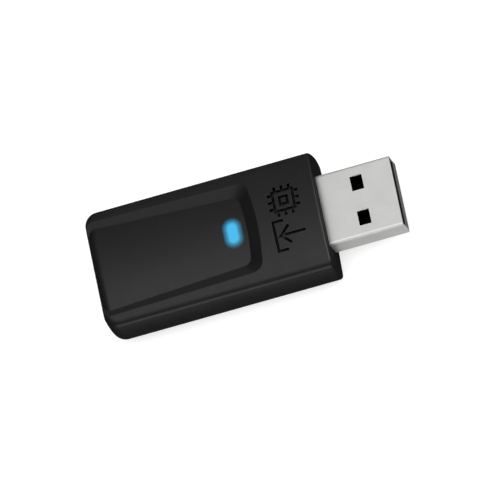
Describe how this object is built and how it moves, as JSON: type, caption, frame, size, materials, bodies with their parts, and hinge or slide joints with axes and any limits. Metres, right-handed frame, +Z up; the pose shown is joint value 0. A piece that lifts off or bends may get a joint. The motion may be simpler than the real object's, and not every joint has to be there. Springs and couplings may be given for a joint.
{
  "type": "usb microcontroller programmer",
  "caption": "Black USB stick with a metal type A plug, a thumb dish on top with a lit window, and a circuit board inside a two-part case.",
  "frame": {"origin": "on the surface that the stick rests on, under the middle of its overall length and width", "axes": "+X along the stick and out of the plug's mouth, +Y across it, +Z up out of the thumb dish"},
  "size_m": [0.0508, 0.021, 0.0096],
  "materials": {
    "case_plastic": "fine satin mould texture",
    "window_plastic": "translucent, lit from below",
    "plug_steel": "satin nickel-plated sheet",
    "insulator_plastic": "satin glass-filled moulding",
    "gold_plate": "gold-plated",
    "tin_plate": "tin-plated",
    "solder_mask": "glossy green solder mask on glass-epoxy",
    "led_package": "white package with a clear dome",
    "chip_moulding": "matt epoxy moulding",
    "crystal_can": "satin metal can",
    "antenna_ceramic": "pale fired ceramic",
    "fuse_body": "dark green epoxy",
    "tantalum_body": "yellow epoxy moulding",
    "capacitor_ceramic": "tan fired ceramic",
    "resistor_film": "black glaze"
  },
  "bodies": {
    "base": {"bottom_shell": "case_plastic", "plug_shell": "plug_steel", "plug_insulator": "insulator_plastic", "contact_vbus": "gold_plate", "contact_data_minus": "gold_plate", "contact_data_plus": "gold_plate", "contact_ground": "gold_plate", "circuit_board": "solder_mask", "indicator_led": "led_package", "microcontroller": "chip_moulding", "microcontroller_leads": "tin_plate", "flash_memory": "chip_moulding", "flash_memory_leads": "tin_plate", "voltage_regulator": "chip_moulding", "regulator_leads": "tin_plate", "esd_protector": "chip_moulding", "esd_leads": "tin_plate", "crystal": "crystal_can", "ceramic_antenna": "antenna_ceramic", "fuse": "fuse_body", "bulk_capacitor": "tantalum_body", "capacitors": "capacitor_ceramic", "resistors": "resistor_film", "chip_end_caps": "tin_plate", "programming_pads": "gold_plate"},
    "cover": {"top_shell": "case_plastic", "light_pipe": "window_plastic"}
  },
  "joints": [
    {"name": "cover_lift", "type": "slide", "parent": "base", "child": "cover", "axis": [0, 0, 1], "range_m": [0, 0.014]}
  ]
}
